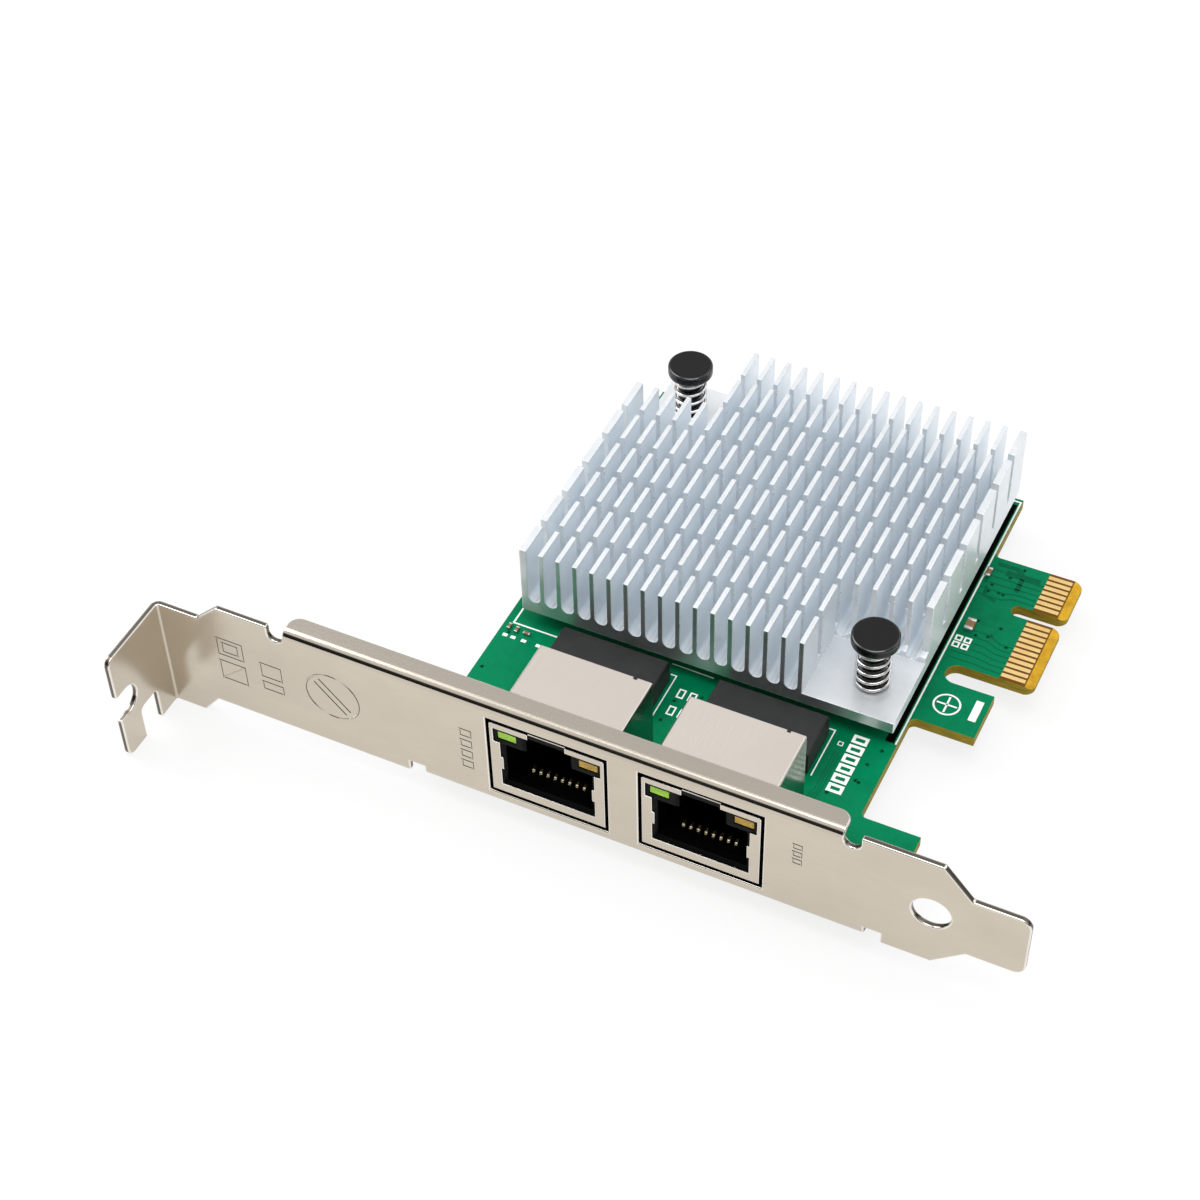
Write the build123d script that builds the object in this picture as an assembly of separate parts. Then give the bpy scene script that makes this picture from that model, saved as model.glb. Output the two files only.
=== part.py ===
from build123d import *
import os

os.makedirs("parts", exist_ok=True)

# Working axes, in mm: X runs down the bracket from the screw flange to the tail,
# Y runs from the bracket's outer face to the card's rear edge, Z points up from the component side.

# bracket of folded sheet
bracket_length = 120.02
bracket_width = 18.42
sheet = 0.86
bend_in = 0.35
bend_out = bend_in + sheet
bracket_tip_x = bracket_length - sheet
tail_length = 7.27
tail_start_x = bracket_tip_x - tail_length
tail_width = 10.19
tail_low_z = 3.8
tail_corner = 1.5
taper_length = 4.19
taper_top_length = 3.79
taper_start_x = tail_start_x - taper_length
neck_low_x = 4.6
neck_low_run = 2.5
neck_high_x = 6.0
neck_high_run = 3.2
vent_hole_setback = 0.6
vent_hole_x = taper_start_x - vent_hole_setback
vent_hole_z = 9.25
vent_hole_r = 2.5

# screw flange of the bracket
flange_depth = 11.43
flange_drop = 3.17
flange_corner = 1.2
screw_slot_width = 4.42
screw_slot_z = 6.1
screw_slot_depth = 4.1
side_notch_width = 3.7
side_notch_height = 5.4
side_notch_y = -5.45
side_notch_corner = 0.8

# printed circuit board
board_thick = 1.57
board_low_z = sheet
board_z = board_low_z + board_thick
board_gap = 0.45
board_front_y = sheet + board_gap
board_rear_y = 77.9
board_setback = 82.76
board_left_x = bracket_tip_x - board_setback
board_height = 68.9
finger_tip_x = board_left_x + board_height
tongue_reach = 12.8
board_right_x = finger_tip_x - tongue_reach
ear_reach = 8.1
ear_x = board_right_x + ear_reach
ear_y = 15.4
tab_reach = 8.6
tab_x = board_right_x + tab_reach
tab_y = (33.4, 41.3)
inner_corner = 0.8

# returns of the bracket, the low one with two tabs that carry the board
top_return_start = 19.1
top_return_setback = 12.1
top_return_x = (top_return_start, taper_start_x - top_return_setback)
top_return_depth = 3.4
return_corner = 1.6
relief_width = 2.2
relief_depth = 1.15
low_relief = 1.8
low_return_left_inset = 2.1
low_return_right_inset = 1.6
low_return_x = (board_left_x + low_return_left_inset, ear_x - low_return_right_inset)
low_return_depth = 3.4
left_tab_width = 9.0
right_tab_width = 7.5
tab_depth = 11.9

# edge connector
key_y = 57.15
key_width = 1.9
key_depth = 7.4
key_bottom_x = finger_tip_x - key_depth
near_contacts = 11
far_contacts = 7
contact_pitch = 1.0
contact_width = 0.7
contact_thick = 0.05
contact_setback = 1.35
contact_end_x = finger_tip_x - contact_setback
mask_setback = 4.75
mask_x = finger_tip_x - mask_setback
segment_margin = 0.475
near_segment = (near_contacts - 1) * contact_pitch + contact_width + 2 * segment_margin
far_segment = (far_contacts - 1) * contact_pitch + contact_width + 2 * segment_margin
tongue_y = (key_y - key_width / 2 - near_segment, key_y + key_width / 2 + far_segment)
tongue_corner = 1.0
gap_rim = 1.2
bevel_run = 1.25
bevel_rise = 0.45

# heatsink
sink_columns = 22
sink_rows = 8
cut_columns = 5
cut_rows = 2
fin_pitch = 2.47
fin_thick = 0.67
outer_fin = 1.0
row_pitch = 6.28
row_gap = 1.15
base_thick = 2.0
fin_height = 9.25
sink_lift = 2.6
sink_inset = 2.35
sink_left_x = board_left_x + sink_inset
sink_front_y = 27.6
pad_drop = 0.15
sink_low_z = board_z + sink_lift
sink_floor_z = sink_low_z + base_thick
sink_top_z = sink_floor_z + fin_height
sink_pad_z = sink_floor_z - pad_drop
sink_width = (sink_columns - 1) * fin_pitch + fin_thick + 2 * (outer_fin - fin_thick)
sink_depth = sink_rows * row_pitch - row_gap
sink_x = sink_left_x + sink_width / 2
sink_y = sink_front_y + sink_depth / 2

# controller and its pad
chip_side = 17.0
chip_cap = 15.6
chip_cap_edge = 0.25
chip_laminate = 0.6
pad_thick = 0.6
pad_margin = 0.5
chip_top_z = sink_low_z - pad_thick

# sprung push pins
pin_dx = 21.4
pin_dy = 18.8
pin_shaft_r = 1.75
pin_hole_gap = 0.05
pin_hole_r = pin_shaft_r + pin_hole_gap
pin_head_r = 3.2
pin_head_thick = 1.5
pin_head_drop = 0.4
pin_head_z = sink_top_z - pin_head_drop
barb_r = 2.2
barb_tip_r = 1.3
barb_len = 2.1
barb_gap = 0.05
barb_slot = 0.7
spring_wire_r = 0.22
spring_r = 2.17
spring_turns = 5
spring_steps_a_turn = 12

# network jacks: shield
jack_inset = 20.01
jack_step = 20.85
jack_x = (board_left_x + jack_inset, board_left_x + jack_inset + jack_step)
jack_width = 15.8
jack_height = 12.9
jack_front_y = 0.1
jack_depth = 14.3
jack_rear_y = jack_front_y + jack_depth
shell = 0.25
shield_corner = 0.3
opening_side_gap = 0.425
opening_low_gap = 0.39
opening_high_gap = 0.67
frame_foot = 0.2
frame_side = 1.4
frame_bottom = 1.6
frame_top = 0.9
latch_gap = 5.1
bezel_height = 3.4
bezel_edge = 0.5
finger_low = 4.6
finger_high = 6.8
finger_reach = 0.35
finger_root = 0.05
shield_notch_inset = 2.6
shield_notch_width = 0.5
shield_notch_depth = 0.35
shield_notch_drop = 1.2
leg_setbacks = (3.9, 10.4)
leg_width = 1.3
leg_end_z = board_low_z - 0.9

# network jacks: moulded body with socket, locating posts and lens pockets
socket_half = 5.95
socket_floor = 2.0
socket_drop = 4.0
socket_ceiling = jack_height - socket_drop
latch_half = 3.05
latch_drop = 1.3
latch_ceiling = jack_height - latch_drop
socket_rear_wall = 2.7
socket_depth = jack_depth - socket_rear_wall
mouth_lead = 0.4
lens_width = 2.6
lens_height = 1.32
lens_inset = 2.3
lens_offset = jack_width / 2 - lens_inset
lens_drop = 2.85
lens_low = jack_height - lens_drop
lens_gap = 0.02
lens_setback = 0.1
post_r = 1.6
post_gap = 0.08
post_sides = 8
post_length = 2.17
post_end_z = board_z - post_length
post_y = jack_front_y + 6.4
post_inset = 2.2
post_dx = jack_width / 2 - post_inset

# network jacks: contact wires and indicator wires
jack_wires = 8
wire_pitch = 1.02
wire_width = 0.45
wire_thick = 0.3
wire_floor = 0.7
wire_crest = 2.3
wire_back_rise = 4.1
wire_front_y = jack_front_y + 2.8
wire_back_y = jack_front_y + 9.2
led_wire_width = 0.44
led_wire_step = 1.2
led_wire_inset = 1.2
led_wire_dx = jack_width / 2 - led_wire_inset
led_wire_top = 0.4
led_tail_setback = 1.2
led_tail_y = jack_rear_y - led_tail_setback
tail_row_step = 2.54
tail_row_setback = 1.36
tail_rows = (led_tail_y - tail_row_setback - tail_row_step, led_tail_y - tail_row_setback)
tail_gap = 0.15
slot_gap = 0.055
slot_end_gap = 0.2

# low magnetics modules
module_width = 15.5
module_depth = 7.3
module_height = 3.75
module_lift = 0.12
module_edge = 0.2
module_front_y = 18.9
module_inset = 17.1
module_step = 22.6
module_x = (board_left_x + module_inset, board_left_x + module_inset + module_step)
module_leads = 12
lead_pitch = 1.27
lead_width = 0.42
lead_reach = 1.1
lead_thick = 0.25
lead_rise = 1.7

# memory chip and timing crystal under the heatsink
memory_dx = -15.5
memory_dy = -9.0
memory_size = (3.9, 5.2, 1.6)
memory_leads_a_side = 4
memory_lead_rise = 0.9
crystal_dx = -15.5
crystal_dy = 4.0
crystal_size = (2.5, 3.2, 0.8)
crystal_base = 0.48
crystal_rim = 0.2

# small chip parts, each size as length, width and height
chip_large = (2.0, 1.25, 0.95)
chip_middle = (1.6, 0.8, 0.7)
chip_small = (1.0, 0.5, 0.45)
chip_end_share = 0.22
chip_end_proud = 0.03
sink_chip_dx = 10.6
sink_chip_dy = 4.5
low_chip_offset = 2.6
low_row_setback = 2.55
low_row_start_y = 47.2
low_row_step = 2.0
low_row_count = 4

# screws that hold the board on the bracket
screw_x = (board_left_x + 7.0, ear_x - 4.5)
screw_y = 7.6
screw_r = 1.5
screw_hole_r = 1.7
screw_head_r = 2.75
screw_head = 1.8
recess_depth = 1.0
recess_long = 3.0
recess_wide = 0.6
screw_end_z = -1.2

# Everything is moved once, so that the origin is the middle of the underside of the box around the card.
low_x = -sheet
high_x = bracket_tip_x
low_y = -flange_depth
high_y = board_rear_y
low_z = -flange_drop
shift = Pos(-(low_x + high_x) / 2, -(low_y + high_y) / 2, -low_z)


def block(x0, x1, y0, y1, z0, z1):
    return Pos((x0 + x1) / 2, (y0 + y1) / 2, (z0 + z1) / 2) * Box(x1 - x0, y1 - y0, z1 - z0)


def post(x, y, z0, z1, r):
    return Pos(x, y, (z0 + z1) / 2) * Cylinder(r, z1 - z0)


def plate_xz(points, y0, y1):
    face = make_face(Polyline([(x, 0, z) for x, z in points], close=True))
    return Pos(0, y0, 0) * extrude(face, amount=y1 - y0, dir=(0, 1, 0))


def plate_yz(points, x0, x1):
    face = make_face(Polyline([(0, y, z) for y, z in points], close=True))
    return Pos(x0, 0, 0) * extrude(face, amount=x1 - x0, dir=(1, 0, 0))


def rounded(part, direction, spots, radius):
    picked = []
    for edge in part.edges().filter_by(direction):
        middle = edge.center()
        for spot in spots:
            near = [abs(a - b) < 0.02 for a, b in zip((middle.X, middle.Y, middle.Z), spot) if b is not None]
            if all(near):
                picked.append(edge)
                break
    return fillet(picked, radius)


def region(x0, x1, y0, y1):
    return Pos((x0 + x1) / 2, (y0 + y1) / 2) * Rectangle(x1 - x0, y1 - y0)


def rounded_corners(outline, spots, radius):
    picked = []
    for corner in outline.vertices():
        if any(abs(corner.X - x) < 0.02 and abs(corner.Y - y) < 0.02 for x, y in spots):
            picked.append(corner)
    return fillet(picked, radius)


def save(part, name):
    part = shift * part
    part.label = name
    export_step(part, "parts/" + name + ".step")


# board with its connector tongue, corner tab, screw ear and holes
def board():
    outline = region(board_left_x, board_right_x, board_front_y, board_rear_y)
    outline += region(board_right_x, ear_x, board_front_y, ear_y)
    outline += region(board_right_x, tab_x, tab_y[0], tab_y[1])
    outline += region(board_right_x, finger_tip_x, tongue_y[0], tongue_y[1])
    gap_r = (tongue_y[0] - tab_y[1]) / 2
    gap_x = board_right_x + gap_rim + gap_r
    outline += region(board_right_x, gap_x, tab_y[1], tongue_y[0])
    outline -= Pos(gap_x, tab_y[1] + gap_r) * Circle(gap_r)
    key_r = key_width / 2
    outline -= region(key_bottom_x + key_r, finger_tip_x, key_y - key_r, key_y + key_r)
    outline -= Pos(key_bottom_x + key_r, key_y) * Circle(key_r)
    tips = [(finger_tip_x, y) for y in (tongue_y[0], tongue_y[1], key_y - key_r, key_y + key_r)]
    outline = rounded_corners(outline, tips, tongue_corner)
    inner = [(board_right_x, y) for y in (tab_y[0], tongue_y[1], ear_y)]
    outline = rounded_corners(outline, inner, inner_corner)
    for x, y in pin_places():
        outline -= Pos(x, y) * Circle(pin_hole_r)
    for x in screw_x:
        outline -= Pos(x, screw_y) * Circle(screw_hole_r)
    for x in jack_x:
        for side in (-1, 1):
            seat = RegularPolygon(post_r + post_gap, post_sides)
            outline -= Pos(x + side * post_dx, post_y) * seat
            leg_x = x + side * (jack_width - shell) / 2
            for setback in leg_setbacks:
                slot = Rectangle(shell + 2 * tail_gap, leg_width + 2 * tail_gap)
                outline -= Pos(leg_x, jack_front_y + setback + leg_width / 2) * slot
        tail = Rectangle(wire_width + 2 * tail_gap, wire_width + 2 * tail_gap)
        for place in wire_tails(x) + [(lx, led_tail_y) for lx in led_tails(x)]:
            outline -= Pos(*place) * tail
    part = Pos(0, 0, board_low_z) * extrude(outline, board_thick)
    for edge_z, inside in ((board_z, -1), (board_low_z, 1)):
        wedge = [
            (finger_tip_x - bevel_run, edge_z),
            (finger_tip_x + 1, edge_z),
            (finger_tip_x + 1, edge_z + inside * bevel_rise * (1 + 1 / bevel_run)),
        ]
        part -= plate_xz(wedge, tongue_y[0] - 1, tongue_y[1] + 1)
    return part


def pin_places():
    return [(sink_x + pin_dx, sink_y - pin_dy), (sink_x - pin_dx, sink_y + pin_dy)]


def wire_places(x):
    return [x + (i - (jack_wires - 1) / 2) * wire_pitch for i in range(jack_wires)]


def wire_tails(x):
    return [(wx, tail_rows[i % 2]) for i, wx in enumerate(wire_places(x))]


def led_tails(x):
    return [x + side * led_wire_dx + step * led_wire_step / 2 for side in (-1, 1) for step in (-1, 1)]


# gold contact pads on one face of the tongue
def edge_contacts(z0, z1):
    pads = []
    starts = [tongue_y[0] + segment_margin + i * contact_pitch for i in range(near_contacts)]
    far_low = key_y + key_width / 2 + segment_margin
    starts += [far_low + i * contact_pitch for i in range(far_contacts)]
    for y in starts:
        pads.append(block(mask_x, contact_end_x, y, y + contact_width, z0, z1))
    return Compound(children=pads)


# folded bracket: face, screw flange, top return, low return with two screw tabs
def bracket():
    w = bracket_width
    tail_high_z = tail_low_z + tail_width
    flange_high_z = w - flange_drop
    face = plate_xz(
        [
            (-sheet, -flange_drop),
            (neck_low_x, -flange_drop),
            (neck_low_x + neck_low_run, 0),
            (taper_start_x, 0),
            (tail_start_x, tail_low_z),
            (bracket_tip_x, tail_low_z),
            (bracket_tip_x, tail_high_z),
            (tail_start_x, tail_high_z),
            (tail_start_x - taper_top_length, w),
            (neck_high_x + neck_high_run, w),
            (neck_high_x, flange_high_z),
            (-sheet, flange_high_z),
        ],
        0,
        sheet,
    )
    face = rounded(face, Axis.Y, [(bracket_tip_x, None, z) for z in (tail_low_z, tail_high_z)], tail_corner)
    part = face + screw_flange(flange_high_z)
    part += block(top_return_x[0], top_return_x[1], 0, top_return_depth, w - sheet, w)
    part += block(low_return_x[0], low_return_x[1], 0, low_return_depth, 0, sheet)
    for x0, x1 in tab_spans():
        part += block(x0, x1, 0, tab_depth, 0, sheet)
    for x in relief_lows(top_return_x):
        part -= block(x, x + relief_width, 0, sheet, w - relief_depth, w)
        part -= hole_y(x + relief_width / 2, w - relief_depth, relief_width / 2)
    for x in relief_lows(low_return_x):
        part -= block(x, x + relief_width, 0, sheet, 0, low_relief)
    part = rounded(part, Axis.Z, [(-sheet, sheet, None)], bend_out)
    part = rounded(part, Axis.Z, [(0, 0, None)], bend_in)
    top_x = (top_return_x[0] + top_return_x[1]) / 2
    part = rounded(part, Axis.X, [(top_x, 0, w)], bend_out)
    part = rounded(part, Axis.X, [(top_x, sheet, w - sheet)], bend_in)
    low_x_middle = (low_return_x[0] + low_return_x[1]) / 2
    part = rounded(part, Axis.X, [(low_x_middle, 0, 0)], bend_out)
    part = rounded(part, Axis.X, [(low_x_middle, sheet, sheet)], bend_in)
    ends = [(x, top_return_depth, None) for x in top_return_x]
    part = rounded(part, Axis.Z, ends, return_corner)
    for x in screw_x:
        part -= post(x, screw_y, 0, sheet, screw_r)
    part -= hole_y(vent_hole_x, vent_hole_z, vent_hole_r)
    half = jack_width / 2 + opening_side_gap
    opening_low_z = board_z - opening_low_gap
    opening_high_z = board_z + jack_height + opening_high_gap
    for x in jack_x:
        part -= block(x - half, x + half, 0, sheet, opening_low_z, opening_high_z)
    return part


# flange at the bracket's head, with its open screw slot and side notch
def screw_flange(high_z):
    flange = block(-sheet, 0, -flange_depth, sheet, -flange_drop, high_z)
    corners = [(None, -flange_depth, z) for z in (-flange_drop, high_z)]
    flange = rounded(flange, Axis.X, corners, flange_corner)
    slot_r = screw_slot_width / 2
    slot_in_y = -flange_depth + screw_slot_depth - slot_r
    flange -= block(-sheet, 0, -flange_depth, slot_in_y, screw_slot_z - slot_r, screw_slot_z + slot_r)
    flange -= Pos(-sheet / 2, slot_in_y, screw_slot_z) * Rot(0, 90, 0) * Cylinder(slot_r, sheet)
    notch_low_y = side_notch_y - side_notch_width / 2
    notch_high_y = side_notch_y + side_notch_width / 2
    notch_top = -flange_drop + side_notch_height
    notch = block(-sheet, 0, notch_low_y, notch_high_y, -flange_drop, notch_top)
    corners = [(None, y, notch_top) for y in (notch_low_y, notch_high_y)]
    return flange - rounded(notch, Axis.X, corners, side_notch_corner)


def hole_y(x, z, r):
    return Pos(x, sheet / 2, z) * Rot(90, 0, 0) * Cylinder(r, sheet)


def tab_spans():
    left, right = low_return_x
    return [(left, left + left_tab_width), (right - right_tab_width, right)]


def relief_lows(span):
    return [span[0] - relief_width, span[1]]


# cheese-head screws with a cross recess
def bracket_screws():
    head_z = board_z + screw_head
    screw = post(0, 0, screw_end_z, board_z, screw_r) + post(0, 0, board_z, head_z, screw_head_r)
    cross = Box(recess_long, recess_wide, 2 * recess_depth) + Box(recess_wide, recess_long, 2 * recess_depth)
    screw -= Pos(0, 0, head_z) * cross
    return Compound(children=[Pos(x, screw_y, 0) * screw for x in screw_x])


# finned heatsink: round-bottomed slots along Y, cut across into short fins, two corners cleared for the pins
def fin_left(column):
    return sink_left_x + outer_fin - fin_thick + column * fin_pitch


def heatsink():
    right_x = sink_left_x + sink_width
    rear_y = sink_front_y + sink_depth
    r = (fin_pitch - fin_thick) / 2
    round_top_z = sink_floor_z + r
    line = [Line((sink_left_x, 0, sink_top_z), (sink_left_x, 0, sink_low_z))]
    line.append(Line((sink_left_x, 0, sink_low_z), (right_x, 0, sink_low_z)))
    line.append(Line((right_x, 0, sink_low_z), (right_x, 0, sink_top_z)))
    last_x = right_x
    for column in reversed(range(sink_columns - 1)):
        x = fin_left(column) + fin_thick + r
        line.append(Line((last_x, 0, sink_top_z), (x + r, 0, sink_top_z)))
        line.append(Line((x + r, 0, sink_top_z), (x + r, 0, round_top_z)))
        line.append(ThreePointArc((x + r, 0, round_top_z), (x, 0, sink_floor_z), (x - r, 0, round_top_z)))
        line.append(Line((x - r, 0, round_top_z), (x - r, 0, sink_top_z)))
        last_x = x - r
    line.append(Line((last_x, 0, sink_top_z), (sink_left_x, 0, sink_top_z)))
    part = Pos(0, sink_front_y, 0) * extrude(make_face(line), amount=sink_depth, dir=(0, 1, 0))
    for row in range(1, sink_rows):
        y = sink_front_y + row * row_pitch
        part -= block(sink_left_x, right_x, y - row_gap, y, round_top_z, sink_top_z)
    clear_x = fin_left(sink_columns - cut_columns) - 2 * r
    clear_y = sink_front_y + cut_rows * row_pitch - row_gap
    part -= block(clear_x, right_x, sink_front_y, clear_y, sink_pad_z, sink_top_z)
    clear_x = fin_left(cut_columns - 1) + fin_thick + 2 * r
    clear_y = sink_front_y + (sink_rows - cut_rows) * row_pitch
    part -= block(sink_left_x, clear_x, clear_y - row_gap, rear_y, sink_pad_z, sink_top_z)
    for x, y in pin_places():
        part -= post(x, y, sink_low_z, sink_floor_z, pin_hole_r)
    return part


# controller package and the pad between it and the heatsink
def controller():
    half, cap = chip_side / 2, chip_cap / 2
    lid_z = board_z + chip_laminate
    part = block(sink_x - half, sink_x + half, sink_y - half, sink_y + half, board_z, lid_z)
    lid = block(sink_x - cap, sink_x + cap, sink_y - cap, sink_y + cap, lid_z, chip_top_z)
    return part + chamfer(lid.edges().group_by(Axis.Z)[-1], chip_cap_edge)


def thermal_pad():
    half = chip_side / 2 + pad_margin
    return block(sink_x - half, sink_x + half, sink_y - half, sink_y + half, chip_top_z, sink_low_z)


# push pin turned about its own axis, its barbed end split by a slot
def push_pin(x, y):
    head_low_z = pin_head_z - pin_head_thick
    shoulder_z = board_low_z - barb_gap
    tip_z = shoulder_z - barb_len
    profile = Polyline(
        [
            (0, 0, tip_z),
            (barb_tip_r, 0, tip_z),
            (barb_r, 0, shoulder_z),
            (pin_shaft_r, 0, shoulder_z),
            (pin_shaft_r, 0, head_low_z),
            (pin_head_r, 0, head_low_z),
            (pin_head_r, 0, pin_head_z),
            (0, 0, pin_head_z),
        ],
        close=True,
    )
    pin = revolve(make_face(profile), Axis.Z)
    pin -= block(-barb_slot / 2, barb_slot / 2, -barb_r, barb_r, tip_z, board_z)
    return Pos(x, y, 0) * pin


# coil spring between the heatsink and the pin's head
def pin_spring(x, y):
    low = sink_pad_z + spring_wire_r
    high = pin_head_z - pin_head_thick - spring_wire_r
    step_z = (high - low) / spring_turns / spring_steps_a_turn
    step_angle = 360 / spring_steps_a_turn
    wire = Pos(spring_r, 0, 0) * Rot(90, 0, 0) * RegularPolygon(spring_wire_r, 4)
    sections = []
    for i in range(spring_turns * spring_steps_a_turn + 1):
        sections.append(Pos(x, y, low + i * step_z) * Rot(0, 0, i * step_angle) * wire)
    return loft(sections, ruled=True)


# folded shield around a jack, open below, its front a frame around the socket with a gap for the latch
def jack_shield(x):
    half = jack_width / 2
    z0, z1 = board_z, board_z + jack_height
    front_y = jack_front_y + shell
    part = block(x - half, x + half, jack_front_y, jack_rear_y, z0, z1)
    part = rounded(part, Axis.Y, [(x + s * half, None, z1) for s in (-1, 1)], shield_corner)
    part -= block(x - half + shell, x + half - shell, front_y, jack_rear_y - shell, z0, z1 - shell)
    part -= block(x - half, x + half, jack_front_y, front_y, z0, z0 + frame_foot)
    side = half - frame_side
    part -= block(x - side, x + side, jack_front_y, front_y, z0 + frame_bottom, z1 - frame_top)
    wide = half - bezel_edge
    part -= block(x - wide, x + wide, jack_front_y, front_y, z1 - bezel_height, z1 - frame_top)
    part -= block(x - latch_gap / 2, x + latch_gap / 2, jack_front_y, front_y, z0 + frame_bottom, z1)
    for s in (-1, 1):
        low, high = sorted((x + s * (side - finger_reach), x + s * (side + finger_root)))
        part += block(low, high, jack_front_y, front_y, z0 + finger_low, z0 + finger_high)
        leg_low, leg_high = sorted((x + s * half, x + s * (half - shell)))
        for setback in leg_setbacks:
            y = jack_front_y + setback
            part += block(leg_low, leg_high, y, y + leg_width, leg_end_z, z0)
    notch_x = x + half - shield_notch_inset
    notch_y = jack_rear_y - shield_notch_depth
    part -= block(notch_x, notch_x + shield_notch_width, notch_y, jack_rear_y, z1 - shield_notch_drop, z1)
    return part


# moulded jack body: stepped socket with a lead at its mouth, lens pockets, wire slots and locating posts
def jack_housing(x):
    half = jack_width / 2 - shell
    z0, z1 = board_z, board_z + jack_height - shell
    y0, y1 = jack_front_y + shell, jack_rear_y - shell
    part = block(x - half, x + half, y0, y1, z0, z1)
    deep = jack_front_y + socket_depth
    part -= block(x - socket_half, x + socket_half, y0, deep, z0 + socket_floor, z0 + socket_ceiling)
    part -= block(x - latch_half, x + latch_half, y0, deep, z0 + socket_floor, z0 + latch_ceiling)
    front = part.faces().sort_by(Axis.Y)[0]
    part = chamfer(front.inner_wires()[0].edges(), mouth_lead)
    lens_low_z, lens_high_z = lens_z()
    for s in (-1, 1):
        cx = x + s * lens_offset
        wide = lens_width / 2 + lens_gap
        part -= block(cx - wide, cx + wide, y0, led_tail_y, lens_low_z - lens_gap, lens_high_z + lens_gap)
        peg = extrude(RegularPolygon(post_r, post_sides), z0 - post_end_z)
        part += Pos(x + s * post_dx, post_y, post_end_z) * peg
    slot = wire_width / 2 + slot_gap
    for wx, tail_y in wire_tails(x):
        rear_y = tail_y + wire_thick / 2 + slot_end_gap
        part -= block(wx - slot, wx + slot, wire_front_y - slot_end_gap, rear_y, z0, z0 + socket_floor)
    slot = led_wire_width / 2 + slot_gap
    for lx in led_tails(x):
        part -= block(lx - slot, lx + slot, led_tail_y - slot, y1, z0, lens_low_z + led_wire_top + slot_gap)
    return part


def lens_z():
    return board_z + lens_low, board_z + lens_low + lens_height


# sprung wires, each from its tail in the board, under the socket floor and back over the front lip
def jack_contacts(x):
    wires = []
    t = wire_thick
    low_z, crest_z, back_z = board_z + wire_floor, board_z + wire_crest, board_z + wire_back_rise
    for wx, tail_y in wire_tails(x):
        left, right = wx - wire_width / 2, wx + wire_width / 2
        wire = block(left, right, tail_y - t / 2, tail_y + t / 2, leg_end_z, low_z + t)
        wire += block(left, right, wire_front_y, tail_y + t / 2, low_z, low_z + t)
        wire += block(left, right, wire_front_y, wire_front_y + t, low_z, crest_z + t)
        slope = [
            (wire_front_y, crest_z),
            (wire_back_y, back_z),
            (wire_back_y, back_z + t),
            (wire_front_y, crest_z + t),
        ]
        wires.append(wire + plate_yz(slope, left, right))
    return Compound(children=wires)


# window of an indicator, seen at one upper corner of the socket
def jack_lens(x, side):
    cx = x + side * lens_offset
    front_y = jack_front_y + shell + lens_setback
    rear_y = led_tail_y - led_wire_width / 2 - slot_gap
    return block(cx - lens_width / 2, cx + lens_width / 2, front_y, rear_y, *lens_z())


def led_wires():
    wires = []
    half = led_wire_width / 2
    top_z = lens_z()[0] + led_wire_top
    for x in jack_x:
        for lx in led_tails(x):
            wires.append(block(lx - half, lx + half, led_tail_y - half, led_tail_y + half, leg_end_z, top_z))
    return Compound(children=wires)


# low moulded modules behind the jacks, with bent leads along both long sides
def module_body(x):
    z0 = board_z + module_lift
    h = module_width / 2
    part = block(x - h, x + h, module_front_y, module_front_y + module_depth, z0, board_z + module_height)
    return chamfer(part.edges().group_by(Axis.Z)[-1], module_edge)


# L-shaped section of a lead that runs down a package's side and out along the board
def lead_bend(edge, side, rise):
    return [
        (edge, board_z + rise),
        (edge, board_z),
        (edge + side * lead_reach, board_z),
        (edge + side * lead_reach, board_z + lead_thick),
        (edge + side * lead_thick, board_z + lead_thick),
        (edge + side * lead_thick, board_z + rise),
    ]


def module_lead_set(x):
    leads = []
    for edge, side in ((module_front_y, -1), (module_front_y + module_depth, 1)):
        for i in range(module_leads):
            left = x + (i - (module_leads - 1) / 2) * lead_pitch - lead_width / 2
            leads.append(plate_yz(lead_bend(edge, side, lead_rise), left, left + lead_width))
    return Compound(children=leads)


# places of the small chip parts: centre x, centre y, size, and whether they lie along Y
top_chips = [
    (board_right_x + 1.45, 51.6, chip_large, True),
    (board_right_x + 0.35, 62.1, chip_middle, True),
    (board_left_x + 1.15, 25.9, chip_small, True),
    (board_left_x + 2.35, 25.7, chip_small, True),
    (board_left_x + 3.9, 25.6, chip_small, False),
]
low_chips = []
for i in (-1, 1):
    for j in (-1, 1):
        top_chips.append((sink_x + i * sink_chip_dx, sink_y + j * sink_chip_dy, chip_middle, True))
        low_chips.append((sink_x + i * low_chip_offset, sink_y + j * low_chip_offset, chip_small, True))
for step in range(low_row_count):
    low_chips.append((mask_x - low_row_setback, low_row_start_y + step * low_row_step, chip_small, False))


def chip_block(row, surface_z, up, start, end, inset):
    cx, cy, (length, width, height), along_y = row
    half = width / 2 - inset
    z0, z1 = sorted((surface_z + up * inset, surface_z + up * (height - inset)))
    if along_y:
        return block(cx - half, cx + half, cy + start, cy + end, z0, z1)
    return block(cx + start, cx + end, cy - half, cy + half, z0, z1)


def chip_bodies(rows, surface_z, up):
    made = []
    for row in rows:
        reach = row[2][0] * (0.5 - chip_end_share)
        made.append(chip_block(row, surface_z, up, -reach, reach, chip_end_proud))
    return Compound(children=made)


def chip_ends(rows, surface_z, up):
    made = []
    for row in rows:
        half = row[2][0] / 2
        reach = row[2][0] * (0.5 - chip_end_share)
        made.append(chip_block(row, surface_z, up, -half, -reach, 0))
        made.append(chip_block(row, surface_z, up, reach, half, 0))
    return Compound(children=made)


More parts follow.
